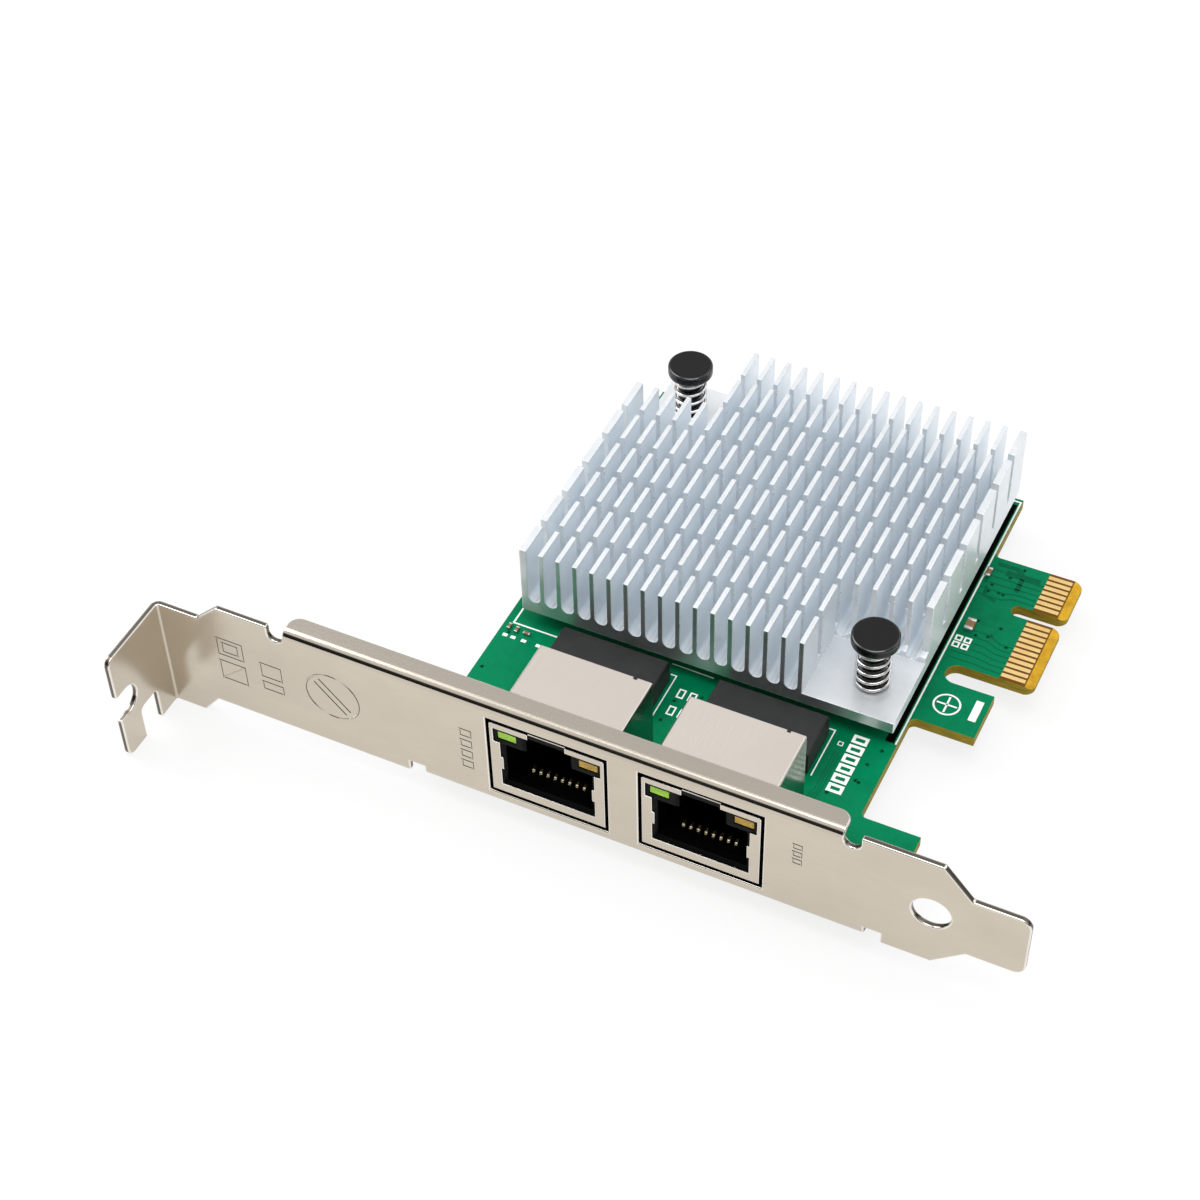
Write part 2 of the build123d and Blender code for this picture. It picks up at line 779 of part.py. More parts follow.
# eight-lead memory and the timing crystal, both in the gap under the heatsink
def memory_body():
    x, y = sink_x + memory_dx, sink_y + memory_dy
    w, d = memory_size[0] / 2, memory_size[1] / 2
    part = block(x - w, x + w, y - d, y + d, board_z + module_lift, board_z + memory_size[2])
    return chamfer(part.edges().group_by(Axis.Z)[-1], module_edge)


def memory_leads():
    x, y = sink_x + memory_dx, sink_y + memory_dy
    leads = []
    for side in (-1, 1):
        bend = lead_bend(x + side * memory_size[0] / 2, side, memory_lead_rise)
        for i in range(memory_leads_a_side):
            ly = y + (i - (memory_leads_a_side - 1) / 2) * lead_pitch
            leads.append(plate_xz(bend, ly - lead_width / 2, ly + lead_width / 2))
    return Compound(children=leads)


def crystal():
    x, y = sink_x + crystal_dx, sink_y + crystal_dy
    w, d = crystal_size[0] / 2, crystal_size[1] / 2
    lid_z = board_z + crystal_base
    base = block(x - w, x + w, y - d, y + d, board_z, lid_z)
    rim = crystal_rim
    return base + block(x - w + rim, x + w - rim, y - d + rim, y + d - rim, lid_z, board_z + crystal_size[2])


save(board(), "pcb")
save(edge_contacts(board_z, board_z + contact_thick), "edge_contacts_component_side")
save(edge_contacts(board_low_z - contact_thick, board_low_z), "edge_contacts_solder_side")
save(bracket(), "bracket")
save(bracket_screws(), "bracket_screws")
save(heatsink(), "heatsink")
save(controller(), "controller_chip")
save(thermal_pad(), "thermal_pad")
for place, name in zip(pin_places(), ("front", "rear")):
    save(push_pin(*place), "push_pin_" + name)
    save(pin_spring(*place), "spring_" + name)
for number, x in enumerate(jack_x, 1):
    save(jack_shield(x), "jack_%d_shield" % number)
    save(jack_housing(x), "jack_%d_housing" % number)
    save(jack_contacts(x), "jack_%d_contacts" % number)
    save(jack_lens(x, -1), "jack_%d_green_lens" % number)
    save(jack_lens(x, 1), "jack_%d_amber_lens" % number)
for number, x in enumerate(module_x, 1):
    save(module_body(x), "magnetics_module_%d" % number)
    save(module_lead_set(x), "magnetics_leads_%d" % number)
save(led_wires(), "indicator_wires")
save(chip_bodies(top_chips, board_z, 1), "chip_parts_component_side")
save(chip_ends(top_chips, board_z, 1), "chip_ends_component_side")
save(chip_bodies(low_chips, board_low_z, -1), "chip_parts_solder_side")
save(chip_ends(low_chips, board_low_z, -1), "chip_ends_solder_side")
save(memory_body(), "memory_chip")
save(memory_leads(), "memory_leads")
save(crystal(), "timing_crystal")
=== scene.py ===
import math
import random

import bmesh
import bpy
from mathutils import Matrix, Vector


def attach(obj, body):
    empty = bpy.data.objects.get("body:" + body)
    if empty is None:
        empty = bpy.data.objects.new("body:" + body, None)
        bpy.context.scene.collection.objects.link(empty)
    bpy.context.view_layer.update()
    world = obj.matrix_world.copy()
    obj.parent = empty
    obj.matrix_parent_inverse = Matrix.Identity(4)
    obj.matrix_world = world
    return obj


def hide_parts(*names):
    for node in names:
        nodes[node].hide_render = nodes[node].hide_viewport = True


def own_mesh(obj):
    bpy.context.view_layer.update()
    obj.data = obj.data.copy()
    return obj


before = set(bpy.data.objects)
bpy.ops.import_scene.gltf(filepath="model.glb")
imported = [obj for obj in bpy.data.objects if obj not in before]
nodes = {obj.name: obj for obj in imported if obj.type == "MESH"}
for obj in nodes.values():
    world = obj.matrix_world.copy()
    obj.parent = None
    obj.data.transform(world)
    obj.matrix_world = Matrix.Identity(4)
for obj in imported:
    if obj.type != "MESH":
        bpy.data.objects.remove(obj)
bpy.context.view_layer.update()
rng = random.Random(11)

# sizes and places, in mm of the working axes: x along the bracket, y from its outer face to the board's rear

MM = 0.001
ORIGIN = (59.15, 33.235, -3.17)
BOARD_TOP = 2.43
BOARD_LOW = 0.86
BRACKET_SHEET = 0.86
SINK_FRONT_Y = 27.6
JACK_X = (56.41, 77.26)
WIRES = 8
WIRE_PITCH = 1.02
WIRE_TAIL_Y = (9.3, 11.84)


def row(x, y, z):
    """A point of the working axes, in mm, as a point of the row frame, in metres."""
    return Vector(((x - ORIGIN[0]) * MM, (y - ORIGIN[1]) * MM, (z - ORIGIN[2]) * MM))


# node trees

def srgb(r, g, b):
    out = []
    for v in (r, g, b):
        v /= 255
        out.append(v / 12.92 if v <= 0.04045 else ((v + 0.055) / 1.055) ** 2.4)
    return (*out, 1.0)


def scaled(color, k):
    return tuple(min(1, c * k) for c in color[:3]) + (1.0,)


class Nodes:
    """A node tree, with short ways to add to it."""

    def __init__(self, tree):
        self.tree = tree

    def node(self, kind, **props):
        n = self.tree.nodes.new(kind)
        for k, v in props.items():
            setattr(n, k, v)
        return n

    def link(self, a, b):
        self.tree.links.new(a, b)

    def ramp(self, fac, low, high, a=0.0, b=1.0, kind="LINEAR"):
        """Runs from a to b while fac runs from low to high."""
        n = self.node("ShaderNodeMapRange", interpolation_type=kind)
        for socket, v in (("From Min", low), ("From Max", high), ("To Min", a), ("To Max", b)):
            n.inputs[socket].default_value = v
        self.link(fac, n.inputs["Value"])
        return n.outputs["Result"]

    def math(self, op, a, b):
        n = self.node("ShaderNodeMath", operation=op)
        for socket, v in zip(n.inputs, (a, b)):
            if isinstance(v, (int, float)):
                socket.default_value = v
            else:
                self.link(v, socket)
        return n.outputs[0]

    def part(self, vector, axis):
        n = self.node("ShaderNodeSeparateXYZ")
        self.link(vector, n.inputs[0])
        return n.outputs[axis]


class Shader(Nodes):
    """A material with a Principled shader. Its textures are in mm of the object."""

    def __init__(self, name, color, metallic=0.0, rough=0.5):
        self.mat = bpy.data.materials.new(name)
        self.mat.use_nodes = True
        super().__init__(self.mat.node_tree)
        self.bsdf = self.tree.nodes["Principled BSDF"]
        self.color = color
        self.bsdf.inputs["Base Color"].default_value = color
        self.set(Metallic=metallic, Roughness=rough)
        self.coord = self.node("ShaderNodeTexCoord").outputs["Object"]

    def set(self, **values):
        for k, v in values.items():
            self.bsdf.inputs[k.replace("_", " ")].default_value = v

    def mapped(self, scale):
        m = self.node("ShaderNodeMapping")
        m.inputs["Scale"].default_value = [s / MM for s in scale]
        self.link(self.coord, m.inputs["Vector"])
        return m.outputs["Vector"]

    def noise(self, scale, detail=4.0, rough=0.55):
        """Noise with features of about 1/scale mm, along each axis or along all three."""
        if isinstance(scale, (int, float)):
            scale = (scale, scale, scale)
        n = self.node("ShaderNodeTexNoise")
        for socket, v in (("Scale", 1.0), ("Detail", detail), ("Roughness", rough)):
            n.inputs[socket].default_value = v
        self.link(self.mapped(scale), n.inputs["Vector"])
        return n.outputs["Fac"]

    def mix(self, fac, a, b):
        n = self.node("ShaderNodeMix", data_type="RGBA")
        self.link(fac, n.inputs["Factor"])
        for socket, v in ((n.inputs["A"], a), (n.inputs["B"], b)):
            if isinstance(v, tuple):
                socket.default_value = v
            else:
                self.link(v, socket)
        return n.outputs["Result"]

    def paint(self, color_socket):
        self.color = color_socket
        self.link(color_socket, self.bsdf.inputs["Base Color"])

    def shade(self, fac, other):
        """Turns the colour so far into the other one where fac is 1."""
        self.paint(self.mix(fac, self.color, other))

    def rough(self, fac, low, high, a, b):
        self.link(self.ramp(fac, low, high, a, b), self.bsdf.inputs["Roughness"])

    def bump(self, *layers):
        """Each layer is a height socket and a depth in mm."""
        last = None
        for height, depth in layers:
            n = self.node("ShaderNodeBump")
            n.inputs["Strength"].default_value = 1.0
            n.inputs["Distance"].default_value = depth * MM
            self.link(height, n.inputs["Height"])
            if last is not None:
                self.link(last, n.inputs["Normal"])
            last = n.outputs["Normal"]
        self.link(last, self.bsdf.inputs["Normal"])

    def steepness(self, axis):
        """How far the surface looks along an axis, whichever way."""
        geometry = self.node("ShaderNodeNewGeometry")
        return self.math("ABSOLUTE", self.part(geometry.outputs["Normal"], axis), 0)

    def between(self, axis, start, end):
        """Runs from 0 to 1 between two places, in mm, along one of the working axes."""
        shift = ORIGIN["XYZ".index(axis)]
        return self.ramp(self.part(self.coord, axis), (start - shift) * MM, (end - shift) * MM)


# materials

def rolled_metal(name, color, rough, grain=(0.25, 6, 6), depth=0.002):
    """Plated sheet or wire: a faint cloud in the plating, fine rolling lines and a little grit."""
    s = Shader(name, color, 1.0, rough)
    cloud = s.noise((0.07, 0.07, 0.09), 3)
    line = s.noise(grain, 5, 0.6)
    grit = s.noise(5, 3)
    s.shade(s.ramp(cloud, 0.36, 0.68), scaled(color, 0.93))
    s.shade(s.ramp(line, 0.4, 0.7, 0.0, 0.3), scaled(color, 0.88))
    uneven = s.math("ADD", s.math("MULTIPLY", cloud, 0.6), s.math("MULTIPLY", line, 0.4))
    s.rough(uneven, 0.35, 0.65, rough - 0.03, rough + 0.05)
    s.bump((line, depth), (grit, depth * 0.6))
    return s.mat


def extruded_aluminium():
    """Satin anodised sides of the fins, with the faint lines of the die."""
    s = Shader("extruded_aluminium", srgb(246, 251, 255), 0.26, 0.33)
    cloud = s.noise((0.12, 0.12, 0.3), 3)
    lines = s.noise((5, 0.05, 5), 4, 0.6)
    grit = s.noise(11, 3)
    s.shade(s.ramp(cloud, 0.4, 0.7), srgb(238, 246, 252))
    s.shade(s.ramp(lines, 0.4, 0.7, 0.0, 0.3), srgb(230, 239, 247))
    s.rough(lines, 0.3, 0.7, 0.31, 0.36)
    s.bump((lines, 0.0008), (grit, 0.0012))
    return s.mat


def sawn_aluminium(name, bright, dull, metallic, rough=0.4, depth=0.0008):
    """Faces that a saw or a cutter left across the extruded form."""
    s = Shader(name, bright, metallic, rough)
    cuts = s.noise((0.3, 4, 9), 4, 0.6)
    cloud = s.noise(0.3, 3)
    s.shade(s.ramp(cloud, 0.4, 0.7), dull)
    s.rough(cuts, 0.3, 0.7, rough - 0.02, rough + 0.03)
    s.bump((cuts, depth))
    return s.mat


def plastic(name, color, rough, depth=0.006, grain=9.0, dust=0.05, gloss=0.5):
    """Moulded plastic or epoxy: fine texture, a little dust, and gloss as the specular level."""
    s = Shader(name, color, 0.0, rough)
    cloud = s.noise(0.4, 3)
    fine = s.noise(grain, 4, 0.65)
    pale = tuple(c + dust for c in color[:3]) + (1.0,)
    s.shade(s.ramp(cloud, 0.4, 0.75, 0.0, 0.5), pale)
    s.rough(fine, 0.3, 0.7, rough - 0.06, rough + 0.08)
    s.bump((fine, depth))
    s.set(Specular_IOR_Level=gloss)
    return s.mat


def grained(name, color, other, grain, share, rough, depth, metallic=0.0):
    """One fine grain that changes the colour, the roughness and the surface together."""
    s = Shader(name, color, metallic, sum(rough) / 2)
    texture = s.noise(*grain)
    s.shade(s.ramp(texture, *share), other)
    s.rough(texture, 0.3, 0.7, *rough)
    s.bump((texture, depth))
    return s.mat


MASK_GLOSS = 0.06
MASK_END_X = (100.5, 100.56)
TONGUE_START_Y = (43.9, 44.0)
CONTACT_END_X = (104.15, 104.05)


def board_material():
    """Green mask over copper on the faces, bare laminate on the rim and past the mask's end."""
    s = Shader("solder_masked_board", srgb(0, 122, 80), 0.0, 0.3)
    weave = s.node("ShaderNodeTexBrick", offset=0.5)
    brick = {"Scale": 1.0, "Mortar Size": 0.05, "Brick Width": 0.9, "Row Height": 0.45}
    for socket, v in brick.items():
        weave.inputs[socket].default_value = v
    s.link(s.mapped((1, 1, 1)), weave.inputs["Vector"])
    threads = weave.outputs["Fac"]
    cloud = s.noise(0.11, 3)
    mottle = s.noise(0.9, 3)
    s.shade(s.ramp(cloud, 0.42, 0.6), srgb(0, 110, 70))
    s.shade(s.ramp(mottle, 0.4, 0.75, 0.0, 0.4), srgb(2, 130, 86))
    s.shade(s.math("MULTIPLY", threads, 0.12), srgb(0, 98, 62))
    fibres = s.ramp(s.noise((0.5, 0.5, 9), 4), 0.35, 0.7)
    laminate = s.mix(fibres, srgb(176, 150, 52), srgb(120, 112, 38))
    stains = s.ramp(s.noise(0.8, 3), 0.35, 0.7)
    bare = s.mix(stains, srgb(214, 166, 44), srgb(184, 140, 40))
    bare = s.mix(s.between("X", *CONTACT_END_X), bare, srgb(112, 70, 24))
    rim = s.ramp(s.steepness("Z"), 0.9, 0.6)
    past = s.math("MULTIPLY", s.between("X", *MASK_END_X), s.between("Y", *TONGUE_START_Y))
    s.paint(s.mix(rim, s.mix(past, s.color, bare), laminate))
    s.rough(s.math("MAXIMUM", rim, past), 0, 1, 0.26, 0.5)
    s.bump((threads, 0.003), (mottle, 0.004))
    s.set(Specular_IOR_Level=MASK_GLOSS)
    return s.mat


def masked_gap():
    """Mask that lies darker where there is no copper under it."""
    color = srgb(0, 99, 65)
    s = Shader("mask_over_bare_laminate", color, 0.0, 0.24)
    cloud = s.noise(0.7, 3)
    s.shade(s.ramp(cloud, 0.35, 0.7), scaled(color, 0.82))
    s.rough(cloud, 0.3, 0.7, 0.2, 0.32)
    s.bump((s.noise(4, 3), 0.004))
    s.set(Specular_IOR_Level=MASK_GLOSS)
    return s.mat


def gold_plate():
    s = Shader("gold_plate", srgb(255, 222, 150), 1.0, 0.26)
    wipe = s.noise((0.4, 7, 7), 4)
    cloud = s.noise(0.6, 3)
    s.shade(s.ramp(cloud, 0.4, 0.7), srgb(248, 206, 126))
    s.shade(s.ramp(wipe, 0.45, 0.7, 0.0, 0.4), srgb(255, 232, 176))
    s.rough(wipe, 0.3, 0.7, 0.2, 0.34)
    s.bump((wipe, 0.003))
    return s.mat


WIRE_SHADE_Y = (3.2, 3.8)


def wire_gold():
    """Sprung wires: bright at their front bends, and near black towards their ends as painted shade."""
    s = Shader("sprung_wire", srgb(252, 238, 204), 1.0, 0.24)
    grain = s.noise((9, 3, 9), 3)
    s.shade(s.ramp(grain, 0.4, 0.7), srgb(236, 212, 158))
    # painted shade: the wires turn near black between y 3.2 and 3.8 mm and stay so towards their ends
    s.shade(s.between("Y", *WIRE_SHADE_Y), srgb(10, 9, 7))
    s.rough(grain, 0.3, 0.7, 0.2, 0.32)
    s.bump((grain, 0.003))
    return s.mat


def lens_material(name, color, deep, glow):
    s = Shader(name, color, 0.0, 0.16)
    body = s.noise((0.8, 0.3, 0.8), 3)
    s.shade(s.ramp(body, 0.35, 0.7), deep)
    s.set(Transmission_Weight=0.1, Coat_Weight=0.3, Coat_Roughness=0.05, Specular_IOR_Level=0.3)
    # The faint emission in the lens colour is a painted glow.
    s.set(Emission_Color=glow, Emission_Strength=0.1)
    s.rough(s.noise(6, 3), 0.3, 0.7, 0.12, 0.24)
    s.bump((s.noise(2.5, 3), 0.01))
    return s.mat


EVEN = (3, 3, 3)
FINE = (6, 6, 6)
ALONG_FOLD = (0.15, 5, 5)
UPRIGHT_SHEET = (6, 0.3, 6)
M = {
    "nickel": rolled_metal("nickel_plated_sheet", srgb(207, 197, 181), 0.2),
    "nickel_edge_and_highlight": rolled_metal("nickel_edge_and_painted_highlight", srgb(236, 230, 220), 0.12, EVEN),
    "nickel_cut_and_shade": rolled_metal("nickel_cut_and_painted_shade", srgb(104, 98, 91), 0.26, EVEN),
    # The upper bend is a slightly darker, glossier copy of the sheet and the returns' upward faces a darker
    # one: the darker tones are painted shade.
    "nickel_bend_shade": rolled_metal("nickel_bend_painted_shade", srgb(199, 190, 176), 0.1, ALONG_FOLD, 0.0002),
    "nickel_return_shade": rolled_metal("nickel_return_painted_shade", srgb(184, 176, 165), 0.26, ALONG_FOLD),
    "shield": rolled_metal("tinned_shield_sheet", srgb(228, 219, 210), 0.22, UPRIGHT_SHEET),
    "shield_edge": rolled_metal("tinned_shield_edge", srgb(244, 240, 236), 0.14, FINE),
    # The shields' sides facing along x are a darker copy of their tinned sheet: painted shade.
    "shield_side_shade": rolled_metal("tinned_shield_painted_shade", srgb(152, 148, 142), 0.18, UPRIGHT_SHEET),
    "screw": rolled_metal("zinc_plated_steel", srgb(206, 206, 208), 0.2, (5, 5, 0.8)),
    "spring": rolled_metal("bright_spring_wire", srgb(236, 234, 232), 0.1, (9, 9, 9)),
    "tin": rolled_metal("tinned_leads", srgb(214, 216, 218), 0.2, (5, 5, 5)),
    "fin_side": extruded_aluminium(),
    "fin_front": sawn_aluminium("sawn_end", srgb(214, 217, 220), srgb(194, 198, 202), 0.92),
    "fin_cut": sawn_aluminium("cross_cut", srgb(238, 242, 246), srgb(224, 229, 234), 0.25),
    "fin_top": sawn_aluminium("milled_top", srgb(230, 233, 236), srgb(222, 225, 228), 0.5, 0.32, 0.0002),
    "fin_edge": grained(
        "aluminium_edge", srgb(244, 248, 252), srgb(220, 227, 234), (3, 4), (0.5, 0.75), (0.24, 0.36),
        0.0015, 0.6),
    "board": board_material(),
    "masked_gap": masked_gap(),
    "gold": gold_plate(),
    # The contacts' rounded edges are dark brown.
    "gold_edge": grained(
        "dark_contact_edge", srgb(120, 72, 26), srgb(92, 52, 20), (6, 3), (0.4, 0.7), (0.35, 0.5), 0.003, 0.6),
    "wire": wire_gold(),
    "ink": grained(
        "legend_ink", srgb(250, 252, 248), srgb(218, 232, 222), (3, 4), (0.6, 0.8), (0.45, 0.65), 0.006),
    "jack_black": plastic("black_jack_moulding", srgb(3, 3, 3), 0.45, 0.006, 8, 0.001, 0.08),
    "epoxy": plastic("black_epoxy", srgb(32, 32, 32), 0.5, 0.012, 7, 0.012, 0.3),
    "pin": plastic("black_nylon", srgb(6, 6, 7), 0.24, 0.0015, 6, 0.002, 0.28),
    "pin_edge": plastic("polished_nylon_edge", srgb(7, 7, 8), 0.1, 0.001, 6, 0.002, 1.0),
    # A near-black sheet laid where there is only shade: painted shade.
    "shade_black": plastic("black_painted_shade_sheet", srgb(5, 5, 5), 0.9, 0.03, 6, 0.002, 0.05),
    "pad": plastic("thermal_pad", srgb(120, 124, 128), 0.8, 0.02, 5, 0.03),
    "green_lens": lens_material("green_lens", srgb(166, 214, 40), srgb(136, 192, 24), srgb(150, 205, 20)),
    "amber_lens": lens_material("amber_lens", srgb(196, 158, 14), srgb(166, 128, 10), srgb(170, 130, 0)),
    "chip_tan": grained(
        "tan_ceramic", srgb(150, 112, 70), srgb(120, 84, 50), (12, 4), (0.35, 0.7), (0.38, 0.55), 0.006),
}


# mesh helpers: of a piece's materials, the first is for its faces and the second for its rounded edges

FACE, EDGE = 0, 1


def add_piece(name, mesh, materials, body="card", replaces=(), sharp=38):
    """Makes a piece of the mesh. The materials are added only where the mesh has none yet."""
    mesh.polygons.foreach_set("use_smooth", [True] * len(mesh.polygons))
    mesh.set_sharp_from_angle(angle=math.radians(sharp))
    obj = bpy.data.objects.new(name, mesh)
    bpy.context.scene.collection.objects.link(obj)
    if not mesh.materials:
        for m in materials:
            mesh.materials.append(m)
    weighted = obj.modifiers.new("weighted_normals", "WEIGHTED_NORMAL")
    weighted.keep_sharp = True
    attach(obj, body)
    if replaces:
        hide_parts(*replaces)
    return obj


def rounded_copy(node, width, materials, segments=2, limit=30):
    """The node's mesh with its sharp edges rounded, width in mm. The roundings take the second material."""
    bm = bmesh.new()
    bm.from_mesh(nodes[node].data)
    bmesh.ops.remove_doubles(bm, verts=bm.verts, dist=1e-6)
    bmesh.ops.dissolve_limit(bm, angle_limit=math.radians(0.6), verts=bm.verts, edges=bm.edges)
    for face in bm.faces:
        face.material_index = FACE
    sharp_mesh = bpy.data.meshes.new("work")
    bm.to_mesh(sharp_mesh)
    bm.free()
    for m in materials:
        sharp_mesh.materials.append(m)
    temp = bpy.data.objects.new("work", sharp_mesh)
    bpy.context.scene.collection.objects.link(temp)
    bevel = temp.modifiers.new("edge", "BEVEL")
    bevel.width = width * MM
    bevel.segments = segments
    bevel.limit_method = "ANGLE"
    bevel.angle_limit = math.radians(limit)
    bevel.use_clamp_overlap = False
    bevel.loop_slide = False
    bevel.material = EDGE if len(materials) > 1 else -1
    evaluated = temp.evaluated_get(bpy.context.evaluated_depsgraph_get())
    made = bpy.data.meshes.new_from_object(evaluated)
    bpy.data.objects.remove(temp)
    return made


def rounded_piece(node, width, materials, segments=2):
    mesh = rounded_copy(node, width, materials, segments)
    add_piece(node + "_finished", mesh, materials, replaces=(node,))


def mesh_from(bm):
    bmesh.ops.recalc_face_normals(bm, faces=bm.faces)
    mesh = bpy.data.meshes.new("piece")
    bm.to_mesh(mesh)
    bm.free()
    return mesh


def circle(r, n, x=0.0, y=0.0):
    turns = [2 * math.pi * i / n for i in range(n)]
    return [(x + r * math.cos(t), y + r * math.sin(t)) for t in turns]


def rectangle(x, y, half_x, half_y):
    corners = ((-1, -1), (1, -1), (1, 1), (-1, 1))
    return [(x + a * half_x, y + b * half_y) for a, b in corners]


def skin(bm, rings, closed=False):
    """Joins rings of vertices to a tube. An open one gets caps."""
    n = len(rings[0])
    spans = list(zip(rings, rings[1:]))
    if closed:
        spans.append((rings[-1], rings[0]))
    for a, b in spans:
        for i in range(n):
            bm.faces.new((a[i], a[(i + 1) % n], b[(i + 1) % n], b[i]))
    if not closed:
        bm.faces.new(rings[0][::-1])
        bm.faces.new(rings[-1])


def tube(bm, points, frames, section):
    """Sweeps a closed section, a list of (a, b) offsets, along points with one (side, up) pair each."""
    rings = []
    for p, (side, up) in zip(points, frames):
        rings.append([bm.verts.new(p + side * a + up * b) for a, b in section])
    skin(bm, rings)


def lathe(bm, x, y, z, profile, n=20):
    """Turns a profile of (radius, rise) in mm about the upright axis at (x, y). Rises count from z."""
    rings = []
    for r, rise in profile:
        rings.append([bm.verts.new(row(px, py, z + rise)) for px, py in circle(r, n, x, y)])
    skin(bm, rings)


SHARPEST_CORNER = 0.35


def ridge(bm, points, width, height, closed, top_share, place):
    """A raised line along 2-D points, with top_share of its width on top. place(u, v, out) gives a point."""
    n = len(points)
    rings = []
    for i in range(n):
        p = Vector(points[i])
        before = Vector(points[i - 1]) if i > 0 or closed else None
        after = Vector(points[(i + 1) % n]) if i < n - 1 or closed else None
        d1 = (p - before).normalized() if before is not None else (after - p).normalized()
        d2 = (after - p).normalized() if after is not None else d1
        n1, n2 = Vector((-d1.y, d1.x)), Vector((-d2.y, d2.x))
        side = (n1 + n2) / max(SHARPEST_CORNER, 1 + n1.dot(n2))
        ring = []
        for share, out in ((1, 0.0), (top_share, height), (-top_share, height), (-1, 0.0)):
            q = p + side * width / 2 * share
            ring.append(bm.verts.new(place(q.x, q.y, out)))
        rings.append(ring)
    skin(bm, rings, closed)


def board_line(bm, points, width, height, closed=False, z=BOARD_TOP):
    """A flat line on the board, along points (x, y)."""
    ridge(bm, points, width, height, closed, 1.0, lambda x, y, out: row(x, y, z + out))


def bracket_line(bm, points, width, height, closed=False):
    """A line with sloping flanks on the bracket's outer face, along points (x, z)."""
    ridge(bm, points, width, height, closed, 0.45, lambda x, z, out: row(x, -out, z))


# dressed copies of the rigid nodes: materials past the second are for faces that look another way

ALONG_AXIS = 0.9
SHEET = [M["nickel"], M["nickel_edge_and_highlight"], M["nickel_cut_and_shade"], M["nickel_return_shade"], M["nickel_bend_shade"]]
SHEET_CUT, SHEET_SHADED_RETURN, SHEET_SHADED_BEND = 2, 3, 4
SHIELD = [M["shield"], M["shield_edge"], M["nickel"], M["shield_side_shade"]]
SHIELD_FRONT, SHIELD_SHADED_SIDE = 2, 3
FINS = [M["fin_side"], M["fin_edge"], M["fin_cut"], M["fin_front"], M["fin_top"]]
FIN_CUT, FIN_FRONT, FIN_TOP = 2, 3, 4
CONTACT = [M["gold"], M["gold_edge"]]
PIN = [M["pin"], M["pin_edge"]]


def sheet_face(face):
    """The bracket's sheared edges, its returns and its upper bend, both in darker tones as painted shade,
    and the rest of its sheet.
    """
    origin = row(0, 0, 0)
    x, y = (face.center.x - origin.x) / MM, (face.center.y - origin.y) / MM
    normal = face.normal
    if x < 0.01:
        cut = abs(normal.x) < 0.3 and y < 0
    elif y < BRACKET_SHEET:
        cut = abs(normal.y) < 0.3
    else:
        cut = abs(normal.z) < 0.3
    if cut:
        return SHEET_CUT
    if normal.z > ALONG_AXIS:
        return SHEET_SHADED_RETURN
    if normal.z > 0.1 and normal.y < -0.1:
        return SHEET_SHADED_BEND
    return FACE


def shield_face(face):
    if face.normal.y < -ALONG_AXIS:
        return SHIELD_FRONT
    # sides facing along x take the darker copy: painted shade
    if abs(face.normal.x) > ALONG_AXIS:
        return SHIELD_SHADED_SIDE
    return FACE


def fin_face(face):
    if abs(face.normal.y) > ALONG_AXIS:
        return FIN_FRONT if face.center.y < row(0, SINK_FRONT_Y + 0.2, 0).y else FIN_CUT
    if face.normal.z > ALONG_AXIS:
        return FIN_TOP
    return FACE


def sorted_piece(node, width, materials, segments, choose):
    """As rounded_piece, with a choice of material for each face that isn't a rounding."""
    mesh = rounded_copy(node, width, materials, segments)
    for face in mesh.polygons:
        if face.material_index == FACE:
            face.material_index = choose(face)
    add_piece(node + "_finished", mesh, materials, replaces=(node,))


sorted_piece("bracket", 0.2, SHEET, 4, sheet_face)
rounded_piece("bracket_screws", 0.1, [M["screw"]])
rounded_piece("pcb", 0.04, [M["board"]])
rounded_piece("controller_chip", 0.08, [M["epoxy"]])
for n in ("1", "2"):
    sorted_piece("jack_%s_shield" % n, 0.07, SHIELD, 3, shield_face)
    rounded_piece("jack_%s_housing" % n, 0.07, [M["jack_black"]])
    rounded_piece("magnetics_module_%s" % n, 0.12, [M["epoxy"]], 3)
    rounded_piece("magnetics_leads_%s" % n, 0.05, [M["tin"]])
    rounded_piece("jack_%s_green_lens" % n, 0.12, [M["green_lens"]], 3)
    rounded_piece("jack_%s_amber_lens" % n, 0.12, [M["amber_lens"]], 3)
rounded_piece("memory_chip", 0.08, [M["epoxy"]])
rounded_piece("memory_leads", 0.05, [M["tin"]])
rounded_piece("timing_crystal", 0.08, [M["screw"]])
for side in ("component", "solder"):
    rounded_piece("edge_contacts_%s_side" % side, 0.03, CONTACT)
for side in ("component", "solder"):
    rounded_piece("chip_parts_%s_side" % side, 0.04, [M["chip_tan"]])
    rounded_piece("chip_ends_%s_side" % side, 0.05, [M["tin"]])
sorted_piece("heatsink", 0.06, FINS, 2, fin_face)
for end in ("front", "rear"):
    pin = "push_pin_" + end
    add_piece(pin + "_finished", rounded_copy(pin, 0.3, PIN, 4, 40), PIN, pin, (pin,))


# coil springs of round wire, with closed end coils

PIN_PLACES = {"front": (86.75, 33.345), "rear": (43.95, 70.945)}
SPRING_LOW, SPRING_HIGH = 6.88, 14.38
WIRE_R, COIL_R = 0.22, 2.17
ACTIVE_TURNS, CLOSED_TURNS = 4.0, 1.0
TOTAL_TURNS = ACTIVE_TURNS + 2 * CLOSED_TURNS
CLOSED_RISE = 2.05 * WIRE_R * CLOSED_TURNS
COIL_LOW, COIL_HIGH = SPRING_LOW + WIRE_R, SPRING_HIGH - WIRE_R
COIL_PITCH = (COIL_HIGH - COIL_LOW - 2 * CLOSED_RISE) / ACTIVE_TURNS
STEPS_A_TURN = 40


